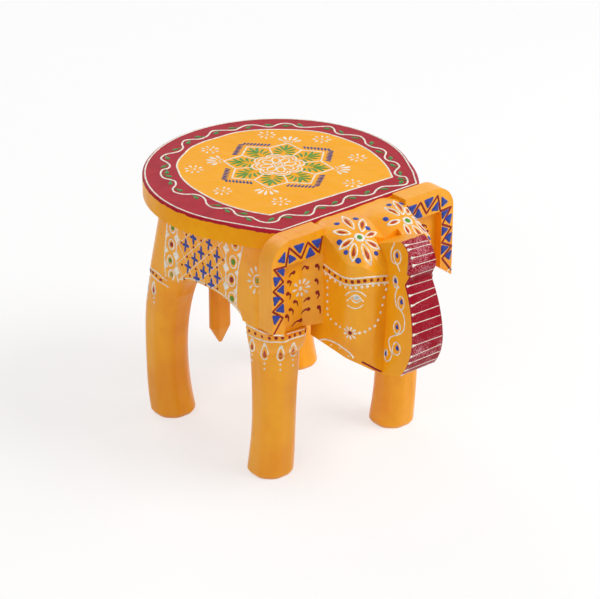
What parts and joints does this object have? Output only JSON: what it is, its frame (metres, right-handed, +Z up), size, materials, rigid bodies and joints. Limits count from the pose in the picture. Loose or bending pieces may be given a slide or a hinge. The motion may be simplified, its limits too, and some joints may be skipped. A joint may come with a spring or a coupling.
{
  "type": "elephant stool",
  "caption": "Low wooden stool carved as a standing elephant: flat rounded seat, arched body, round legs, board ears and curled trunk, painted with raised flowers and bands.",
  "frame": {"origin": "on the floor, under the middle of the bounding box", "axes": "+Z up, the head looks along -Y and the tail hangs at +Y, the elephant's left side is +X"},
  "size_m": [0.1986, 0.2664, 0.2032],
  "materials": {
    "seat_paint": "gloss",
    "body_paint": "gloss",
    "leg_paint": "gloss",
    "head_paint": "gloss",
    "trunk_paint": "gloss",
    "ear_paint": "gloss",
    "tail_paint": "gloss",
    "dowel_wood": "matte"
  },
  "bodies": {
    "root": {"seat_board": "seat_paint", "body_block": "body_paint", "leg_front_left": "leg_paint", "leg_front_right": "leg_paint", "leg_rear_left": "leg_paint", "leg_rear_right": "leg_paint", "head_block": "head_paint", "trunk": "trunk_paint", "ear_left": "ear_paint", "ear_right": "ear_paint", "tail": "tail_paint", "leg_dowel_front_left": "dowel_wood", "leg_dowel_front_right": "dowel_wood", "leg_dowel_rear_left": "dowel_wood", "leg_dowel_rear_right": "dowel_wood", "seat_dowels": "dowel_wood", "head_dowels": "dowel_wood", "trunk_dowels": "dowel_wood", "ear_dowels_left": "dowel_wood", "ear_dowels_right": "dowel_wood", "tail_dowel": "dowel_wood"}
  },
  "joints": []
}
